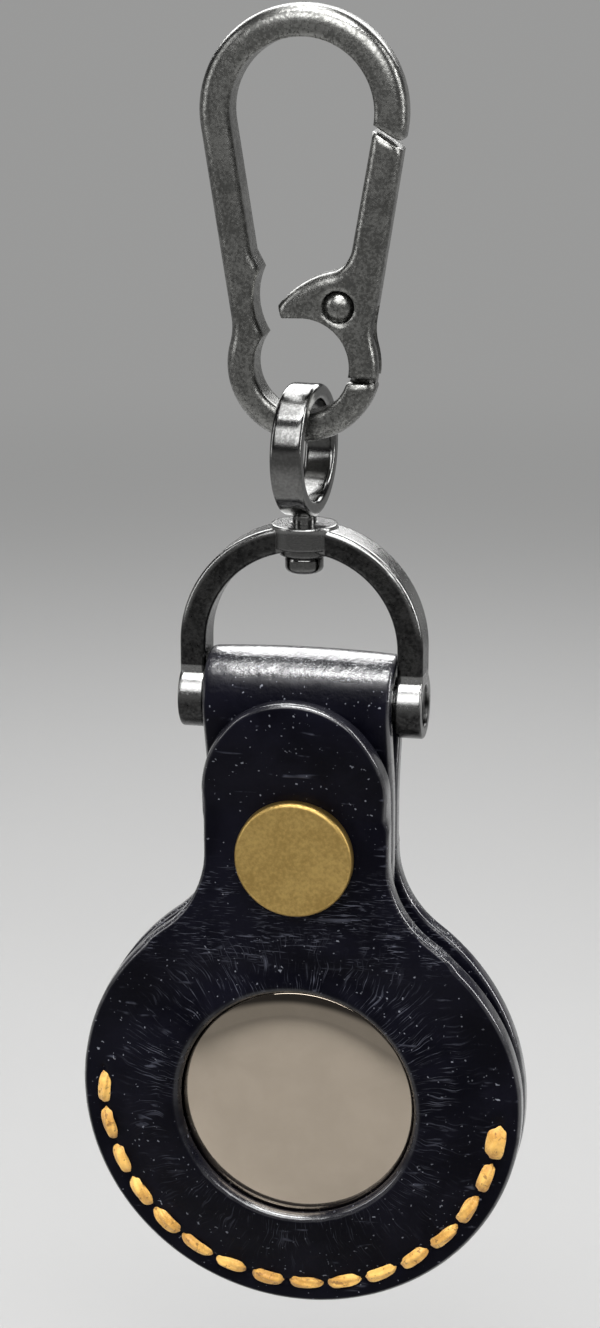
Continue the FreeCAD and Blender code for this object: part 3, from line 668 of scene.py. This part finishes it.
def make_sheet(name, base, faces, fall, dents, edge, material):
    """Leather on a base surface: face, back and the wall between them, with rounded edges."""
    base = np.array(base)
    normals = vertex_normals(base, faces)
    count = len(base)
    outer = base + normals * (leather_thickness - fall - dents)[:, None]
    inner = base + normals * fall[:, None]
    shell = list(faces)
    shell += [tuple(count + index for index in reversed(face)) for face in faces]
    edges = {(face[step - 1], face[step]) for face in faces for step in range(len(face))}
    for first, second in sorted(edges):
        if (second, first) not in edges:
            shell.append((second, first, count + first, count + second))
    piece = add_object(name, np.vstack([outer, inner]), shell)
    shares = piece.data.attributes.new("edge", "FLOAT", "POINT")
    shares.data.foreach_set("value", np.concatenate([edge, edge]))
    dress(piece, material)
    return piece


def ray_steps(length, facing, inner_round):
    """Distances along rays to an edge: close together where edges are rounded, even between."""
    close = np.sin(np.linspace(0, math.pi / 2, round_rows))
    first = np.outer((1 - close[::-1]) * inner_round, np.ones_like(length))
    last = length - np.outer((1 - close) * edge_round, 1 / facing)
    shares = np.linspace(0, 1, middle_rows + 2)[1:-1]
    middle = first[-1] + np.outer(shares, last[0] - first[-1])
    return np.vstack([first, middle, last])


def outward_facing(rim, rays):
    """Cosine between each ray and the outline's normal there, held off zero."""
    along = np.roll(rim, -1, axis=0) - np.roll(rim, 1, axis=0)
    across = np.stack([-along[:, 1], along[:, 0]], axis=1)
    across /= np.linalg.norm(across, axis=1)[:, None]
    return np.clip(np.abs((across * rays).sum(1)), 0.3, 1)


def stitch_dents(x, z):
    """How far the thread pulls the face in, along the row and at its holes."""
    pitch = math.radians(stitch_last_deg - stitch_first_deg) / (stitch_count - 1)
    turn = np.arctan2(z - disc_z, x) % math.tau
    step = (turn - math.radians(stitch_first_deg)) / pitch
    along = (step - np.round(step - 0.5) - 0.5) * pitch * stitch_radius
    off = np.hypot(x, z - disc_z) - stitch_radius
    inside = (step > -0.7) & (step < stitch_count - 0.3)
    groove = groove_depth * np.exp(-((off / groove_reach) ** 2))
    holes = hole_depth * np.exp(-(off**2 + along**2) / hole_reach**2)
    return np.where(inside, groove + holes, 0)


def window_share(radius):
    """1 at the window's edge, falling to 0 at the inner edge of the rim."""
    return np.clip((rim_inner_radius - radius) / (rim_inner_radius - window_radius), 0, 1)


def wrinkle_dents(x, z):
    """Puckers that run out from the window, and creases where the flap bends, swayed by free waves."""
    turn = np.arctan2(z - disc_z, x)
    radius = np.hypot(x, z - disc_z)
    wander = 0.9 * np.sin(3 * turn + 0.4) + 0.7 * np.sin(7 * turn + 2.1) + 0.35 * np.sin(radius * 900)
    strength = 0.55 + 0.45 * np.sin(5 * turn + 1.3)
    puckers = 0.5 - 0.5 * np.cos(pucker_count * turn + wander)
    puckers = pucker_depth * puckers * window_share(radius) * strength
    off = z - bend_z
    sway = 0.0006 * np.sin(x * 410 + 0.7) + 0.0004 * np.sin(x * 930 + off * 300)
    band = np.exp(-((off / crease_reach) ** 2)) * np.clip(0.62 + 0.38 * np.sin(x * 520 + off * 700), 0, 1)
    creases = (0.5 + 0.5 * np.cos((off + sway) / crease_pitch * math.tau)) ** 2
    return puckers + crease_depth * creases * band


def cut_bore(piece, radius, y_front, y_back):
    """Cuts a round hole along Y at the snap."""
    middle = Matrix.Translation((0, (y_front + y_back) / 2, snap_z))
    drill_mesh = bpy.data.meshes.new("drill")
    shape = bmesh.new()
    bmesh.ops.create_cone(
        shape,
        cap_ends=True,
        segments=bore_sides,
        radius1=radius,
        radius2=radius,
        depth=y_back - y_front,
        matrix=middle @ Matrix.Rotation(math.pi / 2, 4, "X"),
    )
    shape.to_mesh(drill_mesh)
    shape.free()
    drill = bpy.data.objects.new("drill", drill_mesh)
    bpy.context.scene.collection.objects.link(drill)
    cut = piece.modifiers.new("bore", "BOOLEAN")
    cut.operation = "DIFFERENCE"
    cut.solver = "EXACT"
    cut.object = drill
    apply_modifiers(piece)
    bpy.data.objects.remove(drill)
    bpy.data.meshes.remove(drill_mesh)
    piece.data.set_sharp_from_angle(angle=math.radians(crisp_angle_deg))


def ring_faces(rows, count):
    """Quads between closed rows of equal length."""
    faces = []
    for row in range(rows - 1):
        low = row * count
        high = low + count
        for column in range(count):
            after = (column + 1) % count
            faces.append((low + column, low + after, high + after, high + column))
    return faces


def make_front_leather(material):
    """Front disc, neck and flap in one sheet, from the window's edge out to the outline."""
    round_z = flap_top_z - strap_half
    rim = np.array(body_outline(round_z) + arc(0, round_z, strap_half, 180, 0))
    centre = np.array((0, disc_z))
    length = np.hypot(*(rim - centre).T)
    rays = (rim - centre) / length[:, None]
    steps = ray_steps(length - window_radius, outward_facing(rim, rays), window_round)
    places = (centre + rays * (window_radius + steps)[:, :, None]).reshape(-1, 2)
    radius = np.hypot(*(places - centre).T)
    lift = front_lift(places[:, 0], places[:, 1])
    base = np.stack([places[:, 0], -lift, places[:, 1]], axis=1)
    rim_fall = rounding(edge_distance(places, rim), edge_round)
    window_fall = rounding(radius - window_radius, window_round)
    fall = rim_fall + window_fall
    edge = np.maximum(rim_fall / edge_round, window_fall / window_round)
    dents = stitch_dents(*places.T) + wrinkle_dents(*places.T) * (1 - edge)
    dents += lip_paring * window_share(radius) ** 2
    piece = make_sheet("front_leather", base, ring_faces(len(steps), len(rim)), fall, dents, edge, material)
    back_y = -flap_lift
    cut_bore(piece, tube_hole, back_y - 2 * leather_thickness, back_y + layer_gap)
    cut_bore(piece, socket_hole, back_y - socket_recess, back_y + socket_recess)
    return piece


def rounded_bend(before, corner, after):
    """Points of a curve that leaves one line for another at a corner."""
    points = []
    for share in np.linspace(0, 1, 9):
        first = np.array(before) + (np.array(corner) - np.array(before)) * share
        second = np.array(corner) + (np.array(after) - np.array(corner)) * share
        points.append(tuple(first + (second - first) * share))
    return points


def strap_path():
    """Y, Z and crown's share of the strap's inner face: up the back, round the pin, down the front."""
    angle = math.asin(loop_inner_radius / loop_meet)
    meet_z = pin_z - loop_meet
    reach = (loop_bend * math.sin(angle), loop_bend * math.cos(angle))
    back = rounded_bend((0, meet_z - loop_bend), (0, meet_z), (reach[0], meet_z + reach[1]))
    path = [(0.0, z, 0.0) for z in np.linspace(snap_z, meet_z - loop_bend, 6)[:-1]]
    path += [(y, z, 0.0) for y, z in back]
    for turn in np.linspace(-angle, math.pi + angle, 36):
        y = loop_inner_radius * math.cos(turn)
        path.append((y, pin_z + loop_inner_radius * math.sin(turn), max(math.sin(turn), 0.0)))
    path += [(-y - layer_gap, z, 0.0) for y, z in reversed(back)]
    path += [(-layer_gap, z, 0.0) for z in np.linspace(meet_z - loop_bend, tail_z, 16)[1:]]
    return path


def make_back_leather(material):
    """Back disc, neck, pin loop and strap tail in one sheet."""
    close = (1 - np.sin(np.linspace(0, math.pi / 2, round_rows))) * edge_round
    half = np.concatenate([np.linspace(0, strap_half - edge_round, half_columns)[:-1], strap_half - close])
    columns = np.concatenate([-half[:0:-1], half])
    rim = np.array(body_outline(snap_z) + [(x, snap_z) for x in columns[:-1]])
    count = len(rim)
    on_line = [index for index in range(count) if abs(rim[index][1] - snap_z) < outline_step / 9]
    on_line.sort(key=lambda index: rim[index][0])
    centre = np.array((0, disc_z))
    length = np.hypot(*(rim - centre).T)
    rays = (rim - centre) / length[:, None]
    facing = outward_facing(rim, rays)
    facing[on_line] = facing.min()
    start = length.min() * 0.04
    steps = ray_steps(length - start, facing, 0)[round_rows - 1 :]
    places = (centre + rays * (start + steps)[:, :, None]).reshape(-1, 2)
    rows = len(steps)
    radius = np.hypot(*(places - centre).T)
    dome = dome_lift * (1 - np.minimum(radius / rim_inner_radius, 1.0) ** dome_power)
    lift = smooth_max(dome, np.zeros(len(places)), lift_blend)
    edge = np.array([place for index, place in enumerate(rim) if index not in on_line[1:-1]])
    base = [(x, rise, z) for (x, z), rise in zip(places, lift)]
    faces = ring_faces(rows, count)
    middle = len(base)
    base.append((0, lift[0], disc_z))
    faces += [(middle, (column + 1) % count, column) for column in range(count)]
    falls = list(rounding(edge_distance(places, edge), edge_round)) + [0.0]
    before = [(rows - 1) * count + index for index in on_line]
    side_fall = rounding(strap_half - np.abs(columns), edge_round)
    for y, z, crown in strap_path()[1:]:
        after = [len(base) + column for column in range(len(columns))]
        base += [(x, y, z + loop_crown * crown * (1 - (x / strap_half) ** 2)) for x in columns]
        falls += list(side_fall)
        for column in range(len(columns) - 1):
            faces.append((before[column], before[column + 1], after[column + 1], after[column]))
        before = after
    dents = np.zeros(len(base))
    dents[: len(places)] = stitch_dents(*places.T)
    faces = [tuple(reversed(face)) for face in faces]
    falls = np.array(falls)
    piece = make_sheet("back_leather_sheet", base, faces, falls, dents, falls / edge_round, material)
    tail_y = -layer_gap - leather_thickness
    cut_bore(piece, stud_seat, tail_y - stud_recess, tail_y + stud_recess)
    cut_bore(piece, shank_hole, 2 * tail_y, -2 * tail_y)
    return piece


def make_cover(material):
    """The tracker's polished cover: flat in the middle, rolled over at its rim, with a skirt."""
    front_y, back_y = cover_low.y, cover_high.y
    flat = cover_radius - cover_shoulder
    inside = cover_radius - cover_wall
    inside_y = front_y + cover_drop + cover_wall
    profile = [(share * flat, front_y) for share in np.linspace(0.02, 1, 12)]
    for share in np.linspace(0, 1, 14)[1:]:
        out = cover_radius - cover_shoulder * (1 - share)
        profile.append((out, front_y + cover_drop * share**cover_power))
    profile += [(cover_radius, inside_y), (cover_radius, back_y), (inside, back_y)]
    profile += [(inside, inside_y), (cover_radius * 0.5, inside_y)]
    around = 160
    vertices = []
    for out, y in profile:
        for turn in np.linspace(0, math.tau, around, endpoint=False):
            vertices.append((out * math.cos(turn), y, disc_z + out * math.sin(turn)))
    faces = ring_faces(len(profile), around)
    faces.append(tuple(reversed(range(around))))
    last = (len(profile) - 1) * around
    faces.append(tuple(last + step for step in range(around)))
    piece = add_object("cover_disc", vertices, faces)
    dress(piece, material)
    return piece


def make_stitch_row(name, face_y, outward, material):
    """Row of plump stitches that ends in a doubled one; outward is -1 on the front and 1 on the back."""
    draw = random.Random(stitch_seed)
    angles = np.radians(np.linspace(stitch_first_deg, stitch_last_deg, stitch_count))
    lift = Vector((0, outward, 0))
    vertices = []
    faces = []
    for index, angle in enumerate(angles):
        wide = stitch_doubled if index == stitch_count - 1 else 1.0
        length = stitch_length * draw.uniform(0.94, 1.05)
        width = stitch_width * draw.uniform(0.92, 1.08)
        phase = draw.uniform(0, 6.28)
        skew = math.radians(draw.uniform(-4, 9))
        centre = Vector((math.cos(angle), 0, math.sin(angle))) * stitch_radius + Vector((0, face_y, disc_z))
        along = Vector((-math.sin(angle + skew), 0, math.cos(angle + skew)))
        across = Vector((math.cos(angle + skew), 0, math.sin(angle + skew)))
        first = len(vertices)
        for row in range(stitch_rows):
            share = row / (stitch_rows - 1) * 2 - 1
            swell = (1 - abs(share) ** 4) ** 0.5
            radius = width / 2 * max(swell, 0.04)
            rise = width * (0.36 * (1 - share * share) - 0.3 * share**6)
            for step in range(stitch_around):
                turn = step / stitch_around * math.tau
                twist = turn * stitch_strands + share * stitch_twist + phase
                lobe = radius * (0.88 + 0.14 * math.cos(twist))
                place = centre + along * (share * length / 2)
                place += across * (wide * lobe * math.cos(turn))
                place += lift * (rise + lobe * stitch_flatness * math.sin(turn))
                vertices.append(tuple(place))
        last = len(vertices) - stitch_around
        quads = ring_faces(stitch_rows, stitch_around)
        faces += [tuple(first + corner for corner in quad) for quad in quads]
        faces.append(tuple(first + step for step in range(stitch_around)))
        faces.append(tuple(last + step for step in reversed(range(stitch_around))))
    piece = add_object(name, vertices, faces)
    dress(piece, material)
    return piece


def make_floor():
    """Pale floor, which takes the light and shadow near the holder and one even tone far off."""
    floor_z = cad_box[0][2] - floor_drop
    sides = ((-1, -1), (1, -1), (1, 1), (-1, 1))
    corners = [(x * floor_half, y * floor_half, floor_z) for x, y in sides]
    floor = add_object("floor", corners, [(0, 1, 2, 3)])
    graph = new_material("floor_paper")
    place = graph.place()
    cloud = graph.noise(place, 3.0, 3.0, 0.5)
    tone = graph.mix(graph.span(cloud, 0.3, 0.7), (0.29, 0.289, 0.287, 1), (0.31, 0.309, 0.307, 1))
    floor.data.materials.append(graph.finish(Base_Color=tone, Roughness=0.9))
    far = graph.add("ShaderNodeVectorMath", {0: place}, operation="LENGTH").outputs["Value"]
    share = graph.times(graph.span(far, near_floor, far_floor), graph.seen())
    paper = graph.tree.nodes["Principled BSDF"].outputs["BSDF"]
    even = graph.add("ShaderNodeEmission", {"Color": backdrop_tone, "Strength": 1.0}).outputs["Emission"]
    graph.show_mixed(share, paper, even, "Material Output")


def make_world():
    """Dim light from all round, and a backdrop that darkens overhead for the camera and mirrors."""
    world = bpy.data.worlds.new("studio")
    graph = Graph(world)
    ambient = graph.tree.nodes["Background"]
    graph.put(ambient.inputs["Color"], ambient_tone)
    graph.put(ambient.inputs["Strength"], ambient_strength)
    height = graph.axes(graph.place("Generated"))["Z"]
    tone = graph.mix(graph.span(height, *horizon_fade), backdrop_tone, ceiling_tone)
    backdrop = graph.add("ShaderNodeBackground", {"Color": tone, "Strength": 1.0}).outputs["Background"]
    graph.show_mixed(graph.seen(), ambient.outputs["Background"], backdrop, "World Output")
    bpy.context.scene.world = world


def area_light(name, place, target, size, power, spread_deg=180):
    lamp = bpy.data.lights.new(name, "AREA")
    lamp.shape = "RECTANGLE"
    lamp.size, lamp.size_y = size
    lamp.energy = power
    lamp.spread = math.radians(spread_deg)
    light = bpy.data.objects.new(name, lamp)
    light.location = place
    light.rotation_euler = (Vector(target) - Vector(place)).to_track_quat("-Z", "Y").to_euler()
    light.visible_camera = False
    bpy.context.scene.collection.objects.link(light)


def make_light():
    """Two soft boxes and a strip overhead, a box in front and behind, and a narrow light on each side."""
    middle = (0, 0, (cad_box[0][2] + cad_box[1][2]) / 2)
    pin = (0, 0, pin_z)
    area_light("soft_box", (0, -0.1, 0.52), middle, (0.42, 0.36), 1.2, 120)
    area_light("top_box", (-0.09, 0.22, 0.42), pin, (0.22, 0.36), 1.5)
    area_light("front_strip", (0.03, -0.14, 0.36), middle, (0.36, 0.035), 0.4, 100)
    area_light("front_box", (0.05, -0.34, 0.2), pin, (0.5, 0.24), 1.9)
    area_light("rear_box", (-0.06, 0.42, 0.22), pin, (0.72, 0.2), 3.0)
    area_light("right_light", (0.45, 0.05, 0.12), middle, (0.06, 0.45), 0.45, 110)
    area_light("left_light", (-0.5, -0.2, 0.12), middle, (0.14, 0.45), 0.25, 110)


def make_camera():
    """Looks at the holder as the photograph does."""
    lens = bpy.data.cameras.new("camera")
    lens.sensor_fit = "VERTICAL"
    lens.sensor_height = sensor_long_side * 1000
    lens.lens = lens.sensor_height * focal_pixels / image_size[1]
    camera = bpy.data.objects.new("camera", lens)
    azimuth = math.radians(camera_azimuth_deg)
    yaw = math.atan((axis_pixel - image_size[0] / 2) / focal_pixels)
    camera.location = (
        camera_distance * math.sin(azimuth),
        -camera_distance * math.cos(azimuth),
        camera_height,
    )
    camera.rotation_euler = (math.radians(90 - camera_pitch_deg), 0, azimuth + yaw)
    bpy.context.scene.collection.objects.link(camera)
    bpy.context.scene.camera = camera


dress_nodes()
hide = leather("black_leather")
gold = thread("gold_thread")

front = make_front_leather(hide)
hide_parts("front_panel", "front_flap")
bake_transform(front)

back = make_back_leather(hide)
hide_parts("back_leather")
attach(back, "pocket")

front_thread = make_stitch_row("front_thread", -leather_thickness, -1, gold)
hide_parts("front_stitches")
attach(front_thread, "pocket")

back_thread = make_stitch_row("back_thread", leather_thickness, 1, gold)
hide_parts("back_stitches")
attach(back_thread, "pocket")

cover = make_cover(polished("polished_steel"))
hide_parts("steel_cover")
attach(cover, "tag_cover")

make_floor()
make_light()
make_world()
make_camera()
bpy.context.scene.view_settings.view_transform = "Standard"
